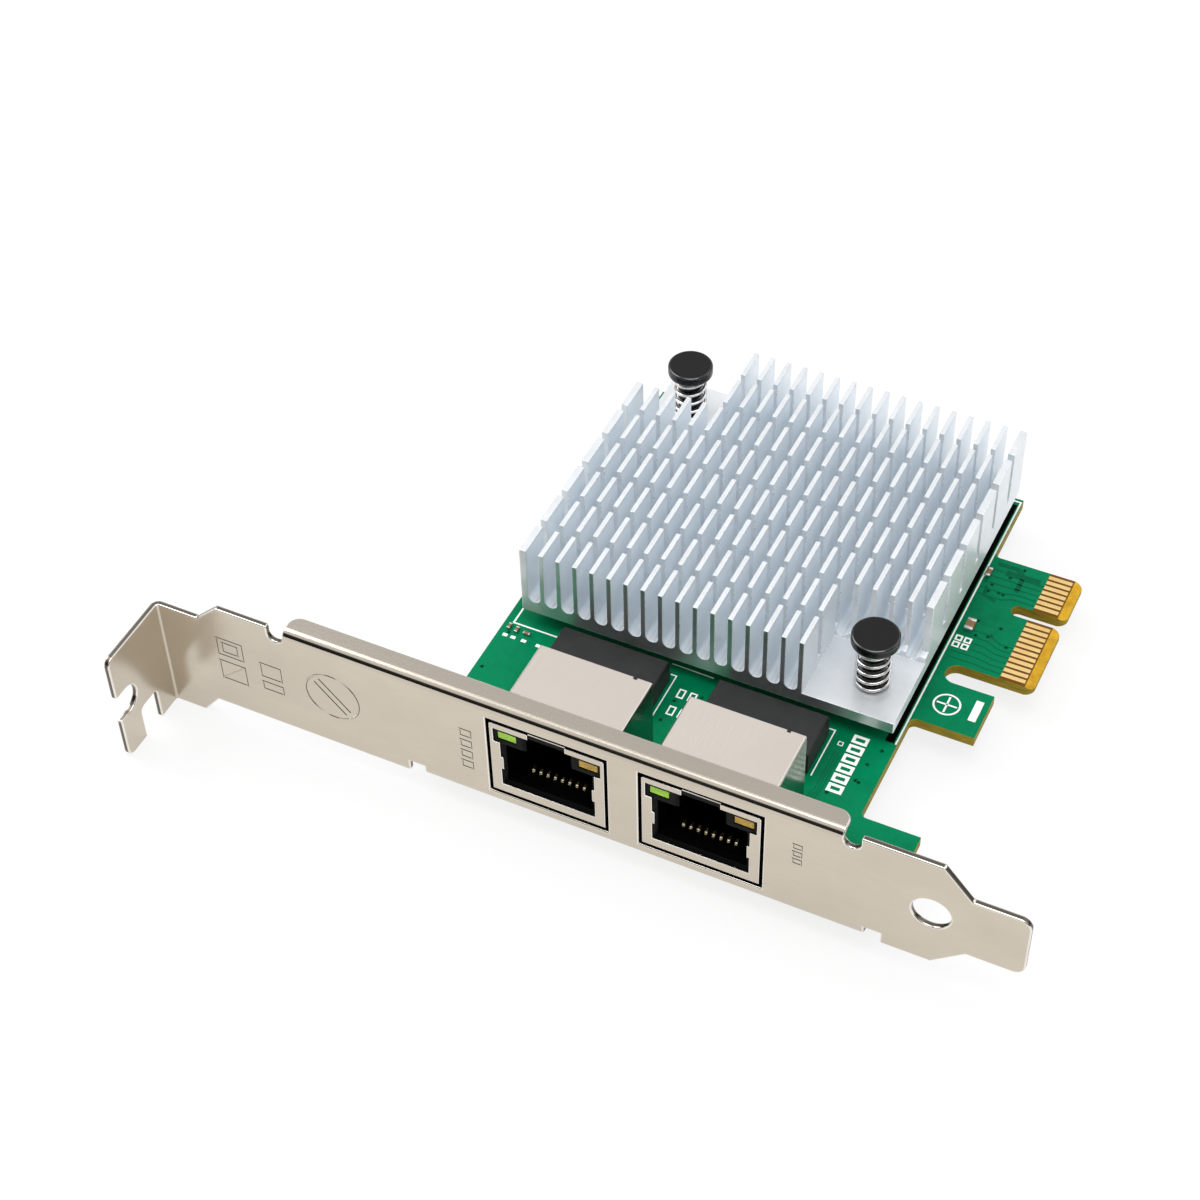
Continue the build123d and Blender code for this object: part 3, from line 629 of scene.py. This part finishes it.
def coil_height(turn):
    if turn < CLOSED_TURNS:
        return COIL_LOW + CLOSED_RISE * turn / CLOSED_TURNS
    if turn < CLOSED_TURNS + ACTIVE_TURNS:
        return COIL_LOW + CLOSED_RISE + COIL_PITCH * (turn - CLOSED_TURNS)
    return COIL_HIGH - CLOSED_RISE * (TOTAL_TURNS - turn) / CLOSED_TURNS


def spring_mesh(x, y):
    bm = bmesh.new()
    path, frames = [], []
    for i in range(int(TOTAL_TURNS * STEPS_A_TURN) + 1):
        turn = i / STEPS_A_TURN
        angle = 2 * math.pi * turn
        out = Vector((math.cos(angle), math.sin(angle), 0))
        path.append(row(x, y, coil_height(turn)) + out * COIL_R * MM)
        frames.append((out, Vector((0, 0, 1))))
    tube(bm, path, frames, circle(WIRE_R * MM, 12))
    return mesh_from(bm)


for end, (x, y) in PIN_PLACES.items():
    coil = add_piece(
        "spring_%s_coil" % end, spring_mesh(x, y), [M["spring"]],
        replaces=("spring_" + end,), sharp=60)
    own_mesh(coil)


# sprung wires in the jacks

WIRE_WIDTH, WIRE_THICK, WIRE_EDGE = 0.45, 0.3, 0.08
WIRE_BEND = 0.3
WIRE_END_Z = -0.04
WIRE_FLOOR_Z = BOARD_TOP + 0.85
WIRE_FRONT = (3.05, BOARD_TOP + 2.4)
WIRE_BACK = (9.3, BOARD_TOP + 4.25)


def wire_section():
    w, h, c = WIRE_WIDTH / 2 * MM, WIRE_THICK / 2 * MM, WIRE_EDGE * MM
    half = [(-w + c, -h), (w - c, -h), (w, -h + c), (w, h - c)]
    return half + [(-a, -b) for a, b in half]


def bent_path(points, radius, steps=6):
    """2-D points with each inner corner turned into an arc."""
    out = [Vector(points[0])]
    for a, b, c in zip(points, points[1:], points[2:]):
        a, b, c = Vector(a), Vector(b), Vector(c)
        u, v = (a - b).normalized(), (c - b).normalized()
        half = u.angle(v) / 2
        cut = min(radius / math.tan(half), 0.45 * (a - b).length, 0.45 * (c - b).length)
        r = cut * math.tan(half)
        centre = b + (u + v).normalized() * (r / math.sin(half))
        p, q = b + u * cut - centre, b + v * cut - centre
        for i in range(steps + 1):
            t = i / steps
            out.append(centre + (p * (1 - t) + q * t).normalized() * r)
    out.append(Vector(points[-1]))
    return out


def wire(bm, x, points):
    """A flat wire bent in the plane of one x, through (y, z) points."""
    flat = bent_path(points, WIRE_BEND)
    path, frames = [], []
    for i, p in enumerate(flat):
        d = (flat[min(i + 1, len(flat) - 1)] - flat[max(i - 1, 0)]).normalized()
        path.append(row(x, p.x, p.y))
        frames.append((Vector((1, 0, 0)), Vector((0, -d.y, d.x))))
    tube(bm, path, frames, wire_section())


def wire_places(x):
    """The x of each of a jack's wires, and the y of its tail."""
    return [(x + (i - (WIRES - 1) / 2) * WIRE_PITCH, WIRE_TAIL_Y[i % 2]) for i in range(WIRES)]


for number, x in enumerate(JACK_X, 1):
    bm = bmesh.new()
    for wire_x, tail in wire_places(x):
        front, crest = WIRE_FRONT
        route = [(tail, WIRE_END_Z), (tail, WIRE_FLOOR_Z), (front, WIRE_FLOOR_Z), (front, crest), WIRE_BACK]
        wire(bm, wire_x, route)
    add_piece(
        "jack_%d_sprung_wires" % number, mesh_from(bm), [M["wire"]],
        replaces=("jack_%d_contacts" % number,))


# nodes that are shown as they are

nodes["indicator_wires"].material_slots[0].material = M["tin"]
nodes["thermal_pad"].material_slots[0].material = M["pad"]


# black rings round the jacks, between the bracket and the board: painted shade for the dark gap round each
# shield

SHADE_RING_IN, SHADE_RING_OUT = 7.94, 8.95
SHADE_RING_Y = (0.88, 1.24)
SHADE_RING_Z_IN = (2.4, 15.37)
SHADE_RING_Z_OUT = (1.5, 16.6)
SHADE_RING_ROUND = 0.06


def shade_ring_mesh(x):
    bm = bmesh.new()
    loops = []
    for half, (low, high) in ((SHADE_RING_OUT, SHADE_RING_Z_OUT), (SHADE_RING_IN, SHADE_RING_Z_IN)):
        corners = ((-half, low), (half, low), (half, high), (-half, high))
        loops += [[bm.verts.new(row(x + dx, y, z)) for dx, z in corners] for y in SHADE_RING_Y]
    for a, b in ((0, 1), (1, 3), (3, 2), (2, 0)):
        for i in range(4):
            j = (i + 1) % 4
            bm.faces.new((loops[a][i], loops[a][j], loops[b][j], loops[b][i]))
    bmesh.ops.bevel(bm, geom=list(bm.edges), offset=SHADE_RING_ROUND * MM, segments=2, affect="EDGES")
    return mesh_from(bm)


for number, x in enumerate(JACK_X, 1):
    add_piece("jack_%d_gasket" % number, shade_ring_mesh(x), [M["shade_black"]])


# printed legend on the board: each line has its points, its width and whether it is closed

LEGEND_THICK = 0.02
LEGEND_LINES = [
    ([(44.2, 26.9), (37.65, 26.9), (37.65, 77.3), (92.3, 77.3), (92.3, 28.2)], 0.24, False),
    ([(60.3, 29.0), (66.4, 28.9)], 0.2, False),
    ([(61.75, 18.8), (61.75, 27.2), (60.9, 27.2)], 0.18, False),
    ([(84.35, 18.9), (84.35, 27.2), (83.5, 27.2)], 0.18, False),
    ([(99.75, 36.0), (99.75, 39.7)], 1.05, False),
    (circle(1.75, 28, 95.9, 37.4), 0.26, True),
    ([(94.5, 37.4), (97.3, 37.4)], 0.26, False),
    ([(95.9, 36.0), (95.9, 38.8)], 0.26, False),
    (rectangle(85.8, 25.4, 0.3, 0.3), 0.12, True),
]
for x in (93.25, 94.5):
    LEGEND_LINES += [(rectangle(x, y, 0.38, 0.4), 0.26, True) for y in (48.0, 49.25)]
for k in range(6):
    LEGEND_LINES.append((rectangle(87.95, 18.2 + 1.75 * k, 0.85, 0.5), 0.42, True))
for x in (63.6, 65.2):
    LEGEND_LINES += [(rectangle(x, y, 0.4, 0.7), 0.22, True) for y in (21.4, 24.6)]
for x in (37.6, 38.8, 40.4, 42.6):
    LEGEND_LINES.append(([(x - 0.35, 24.4), (x + 0.35, 24.4)], 0.5, False))

bm = bmesh.new()
for points, width, closed in LEGEND_LINES:
    board_line(bm, points, width, LEGEND_THICK, closed)
add_piece("legend_component_side", mesh_from(bm), [M["ink"]])


# gaps between the traces: each has its points and its width, and wide ones lie a little lower

GAP_RISE, WIDE_GAP_RISE = 0.012, 0.011
TOP_GAPS = []
for x, y in ((86.6, 17.2), (87.0, 17.0), (86.2, 17.4)):
    TOP_GAPS.append(([(x - 1.3, y - 3.0), (x - 0.6, y), (x - 0.6, y + 6.5)], 0.14))
for k in range(6):
    y, inner = 45.4 + k, 45.6 + 1.15 * k
    TOP_GAPS.append(([(100.4, y), (98.6, y), (96.8, inner), (93.0, inner)], 0.16))
for k in range(5):
    y, inner = 58.9 + k, 58.2 + 1.3 * k
    TOP_GAPS.append(([(100.4, y), (97.5, y), (96.0, inner), (92.6, inner)], 0.2))
TOP_GAPS.append(([(93.4, 64.6), (96.4, 64.6), (97.4, 63.6), (97.4, 60.4)], 0.7))
WIDE_GAPS = [
    ([(95.0, 63.4), (99.8, 63.4)], 1.1),
    ([(93.4, 60.0), (93.6, 58.2), (95.4, 57.6)], 0.5),
]
LOW_GAPS = []
for k in range(9):
    x, y = 52.0 + 2.0 * k, 34.0 + k
    LOW_GAPS.append(([(x, 20.0), (x, 30.0), (56.0 + 2.2 * k, y), (90.0, 34.0 + 3.1 * k)], 0.22))
for k in range(8):
    y, inner = 30.0 + 4.4 * k, 34.0 + 4.0 * k
    LOW_GAPS.append(([(40.0, y), (58.0, y), (62.0, inner), (74.0, inner)], 0.2))

bm = bmesh.new()
for points, width in TOP_GAPS:
    board_line(bm, points, width, GAP_RISE)
for points, width in WIDE_GAPS:
    board_line(bm, points, width, WIDE_GAP_RISE)
add_piece("traces_component_side", mesh_from(bm), [M["masked_gap"]])

bm = bmesh.new()
for points, width in LOW_GAPS:
    board_line(bm, points, width, GAP_RISE, z=BOARD_LOW - GAP_RISE)
add_piece("traces_solder_side", mesh_from(bm), [M["masked_gap"]])


# vias and solder joints

VIA_PROFILE = [(0.16, 0.001), (0.16, 0.004), (0.28, 0.02), (0.34, 0.001)]
WIRE_JOINT = [(0.12, -0.9), (0.3, -0.78), (0.33, -0.4), (0.5, -0.12), (0.62, 0.0)]
LED_JOINT = [(0.1, -0.9), (0.28, -0.75), (0.32, -0.4), (0.48, -0.1), (0.56, 0.0)]
LEG_JOINT = [(0.3, -0.95), (0.75, -0.7), (0.9, -0.35), (1.15, -0.08), (1.25, 0.0)]
LED_DX, LED_STEP, LED_Y = 6.7, 0.6, 13.2
LEG_DX, LEG_Y = 7.775, (4.65, 11.15)


def scatter(x, y, wide, deep, count):
    return [(x + rng.random() * wide, y + rng.random() * deep) for _ in range(count)]


spots = scatter(94.0, 46, 6, 9, 7)
spots += scatter(93.2, 59, 4, 6, 6)
spots += [(37.4 + rng.random(), 18.0 + 7 * k) for k in range(8)]
spots += scatter(85.6, 16.5, 5.5, 10, 7)
spots += scatter(63.0, 17.5, 3.5, 9, 6)
bm = bmesh.new()
for x, y in spots:
    lathe(bm, x, y, BOARD_TOP, VIA_PROFILE, 14)
add_piece("vias_component_side", mesh_from(bm), [M["masked_gap"]])

bm = bmesh.new()
for x in JACK_X:
    for wire_x, tail in wire_places(x):
        lathe(bm, wire_x, tail, BOARD_LOW, WIRE_JOINT)
    for side in (-1, 1):
        for step in (-LED_STEP, LED_STEP):
            lathe(bm, x + side * LED_DX + step, LED_Y, BOARD_LOW, LED_JOINT)
        for y in LEG_Y:
            lathe(bm, x + side * LEG_DX, y, BOARD_LOW, LEG_JOINT)
add_piece("solder_joints", mesh_from(bm), [M["tin"]])


# black strip on the board under the heatsink's right edge: painted shade for the shadow under that edge

SHADE_STRIP_X, SHADE_STRIP_Y = 91.4, (28.3, 76.6)
SHADE_STRIP_WIDTH, SHADE_STRIP_THICK = 1.2, 0.03
bm = bmesh.new()
board_line(bm, [(SHADE_STRIP_X, y) for y in SHADE_STRIP_Y], SHADE_STRIP_WIDTH, SHADE_STRIP_THICK)
add_piece("heatsink_edge_shade_strip", mesh_from(bm), [M["shade_black"]])


# shallow marks on the bracket's face, plain shapes only; their flanks facing up or left take the pale edge
# colour as painted highlight, the others the dark cut colour as painted shade

MARK_WIDTH, MARK_RISE = 0.26, 0.07
MARK_MATERIALS = [M["nickel"], M["nickel_edge_and_highlight"], M["nickel_cut_and_shade"]]
MARK_PAINTED_HIGHLIGHT, MARK_PAINTED_SHADE = 1, 2
MARK_FRAMES = [
    rectangle(10.5, 11.35, 1.9, 1.55),
    rectangle(10.5, 11.35, 1.1, 0.85),
    rectangle(10.5, 6.9, 1.9, 1.7),
    rectangle(16.5, 6.7, 1.5, 0.7),
    rectangle(16.5, 9.65, 1.5, 1.25),
]
MARK_FRAMES += [rectangle(45.05, z, 0.75, 0.6) for z in (5.6, 7.6, 9.6, 11.6)]
MARK_FRAMES += [rectangle(89.95, z, 0.55, 0.4) for z in (9.9, 11.3, 12.7)]

bm = bmesh.new()
bracket_line(bm, circle(3.9, 48, 25.6, 9.2), 0.3, 0.08, True)
bracket_line(bm, [(23.1, 11.1), (27.4, 6.5)], MARK_WIDTH, MARK_RISE)
bracket_line(bm, [(23.8, 11.9), (28.1, 7.3)], MARK_WIDTH, MARK_RISE)
bracket_line(bm, [(8.6, 5.2), (12.4, 8.6)], 0.24, MARK_RISE)
for points in MARK_FRAMES:
    bracket_line(bm, points, MARK_WIDTH, MARK_RISE, True)
marks = mesh_from(bm)
# painted highlight on flanks facing up or left, painted shade on the others
for face in marks.polygons:
    if face.normal.y > -ALONG_AXIS:
        face.material_index = MARK_PAINTED_HIGHLIGHT if face.normal.z > face.normal.x else MARK_PAINTED_SHADE
add_piece("bracket_pressed_marks", marks, MARK_MATERIALS, sharp=30)


# floor

FLOOR_HALF = 3
FLOOR_GREY = 0.86
FLOOR_SEEN, FLOOR_MIRRORED = 0.82, 0.7


def floor_material():
    """Pale floor that keeps the shadow. The camera and the reflections see part of it as plain white."""
    mat = bpy.data.materials.new("pale_floor")
    mat.use_nodes = True
    t = Nodes(mat.node_tree)
    t.tree.nodes.clear()
    out = t.node("ShaderNodeOutputMaterial")
    diffuse = t.node("ShaderNodeBsdfDiffuse")
    diffuse.inputs["Color"].default_value = (FLOOR_GREY, FLOOR_GREY, FLOOR_GREY, 1)
    glow = t.node("ShaderNodeEmission")
    glow.inputs["Color"].default_value = (1, 1, 1, 1)
    rays = t.node("ShaderNodeLightPath").outputs
    white = t.math("MULTIPLY", rays["Is Camera Ray"], FLOOR_SEEN)
    for ray in ("Is Glossy Ray", "Is Transmission Ray"):
        white = t.math("MAXIMUM", white, t.math("MULTIPLY", rays[ray], FLOOR_MIRRORED))
    mix = t.node("ShaderNodeMixShader")
    t.link(white, mix.inputs["Fac"])
    t.link(diffuse.outputs[0], mix.inputs[1])
    t.link(glow.outputs[0], mix.inputs[2])
    t.link(mix.outputs[0], out.inputs["Surface"])
    return mat


floor_mesh = bpy.data.meshes.new("floor")
corners = [(x, y, 0) for x, y in rectangle(0, 0, FLOOR_HALF, FLOOR_HALF)]
floor_mesh.from_pydata(corners, [], [(0, 1, 2, 3)])
floor = bpy.data.objects.new("floor", floor_mesh)
floor_mesh.materials.append(floor_material())
bpy.context.scene.collection.objects.link(floor)


# world and lamps: the card's edges are parts of a direction of length 1

DOME_LOW, DOME_HIGH = 0.25, 0.95
DOME_RIGHT = 0.45
CARD_TOP = 0.7
CARD_LEFT, CARD_RIGHT = -0.5, 0.0
CARD_LIGHT = 0.05


def studio_world():
    """White where the camera sees it. For light and reflections a pale dome with a dark card in front,
    low on the left, which gives bends and edges their dark lines."""
    world = bpy.data.worlds.new("studio")
    world.use_nodes = True
    t = Nodes(world.node_tree)

    def soft(value, low, high, a=0.0, b=1.0):
        return t.ramp(value, low, high, a, b, "SMOOTHSTEP")

    direction = t.node("ShaderNodeTexCoord").outputs["Generated"]
    x, y, z = (t.part(direction, axis) for axis in "XYZ")
    dome = soft(z, 0.0, 0.9, DOME_LOW, DOME_HIGH)
    dome = t.math("MULTIPLY", dome, soft(x, 0.1, 0.8, 1.0, DOME_RIGHT))
    card = soft(t.math("MULTIPLY", y, -1.0), 0.15, 0.5)
    card = t.math("MULTIPLY", card, soft(z, CARD_TOP, CARD_TOP - 0.12))
    card = t.math("MULTIPLY", card, soft(x, CARD_RIGHT, CARD_RIGHT - 0.2))
    card = t.math("MULTIPLY", card, soft(x, CARD_LEFT - 0.2, CARD_LEFT))
    light = t.math("MULTIPLY", dome, soft(card, 0.0, 1.0, 1.0, CARD_LIGHT))
    rays = t.node("ShaderNodeLightPath")
    background = t.tree.nodes["Background"]
    t.link(t.math("MAXIMUM", light, rays.outputs["Is Camera Ray"]), background.inputs["Color"])
    background.inputs["Strength"].default_value = 1.0
    return world


def soft_light(name, place, size, power, color):
    """A square area lamp that looks at the middle of the floor. Metres and watts."""
    light = bpy.data.lights.new(name, "AREA")
    light.shape = "RECTANGLE"
    light.size = size
    light.size_y = size
    light.energy = power
    light.color = color
    obj = bpy.data.objects.new(name, light)
    bpy.context.scene.collection.objects.link(obj)
    obj.location = place
    obj.rotation_mode = "QUATERNION"
    obj.rotation_quaternion = (-Vector(place)).to_track_quat("-Z", "Y")


bpy.context.scene.world = studio_world()
soft_light("key", (-0.5, 0.05, 0.55), 0.45, 2.4, (1, 1, 1))
soft_light("top", (0.1, -0.1, 0.8), 0.5, 3.0, (0.98, 0.99, 1))
soft_light("back", (0.5, 0.45, 0.5), 0.5, 0.7, (0.97, 0.985, 1))


# camera, fitted to the photo's view

CAMERA_PLACE = (151.598, -170.193, 245.052)
AZ, EL, ROLL = math.radians(27.071), math.radians(46.401), math.radians(-1.806)
FOCAL_PX, FRAME_PX = 2453.6, 1200
SENSOR = 36
camera_data = bpy.data.cameras.new("camera")
camera_data.sensor_width = SENSOR
camera_data.lens = FOCAL_PX / FRAME_PX * SENSOR
camera_data.clip_start = 0.01
camera_data.clip_end = 20
camera = bpy.data.objects.new("camera", camera_data)
bpy.context.scene.collection.objects.link(camera)
bpy.context.scene.camera = camera
right = Vector((math.cos(AZ), math.sin(AZ), 0))
back = Vector((math.sin(AZ) * math.cos(EL), -math.cos(AZ) * math.cos(EL), math.sin(EL)))
up = back.cross(right)
rolled_right = right * math.cos(ROLL) + up * math.sin(ROLL)
rolled_up = up * math.cos(ROLL) - right * math.sin(ROLL)
axes = Matrix((rolled_right, rolled_up, back)).transposed().to_4x4()
camera.matrix_world = Matrix.Translation(row(*CAMERA_PLACE)) @ axes

bpy.context.scene.view_settings.view_transform = "Standard"
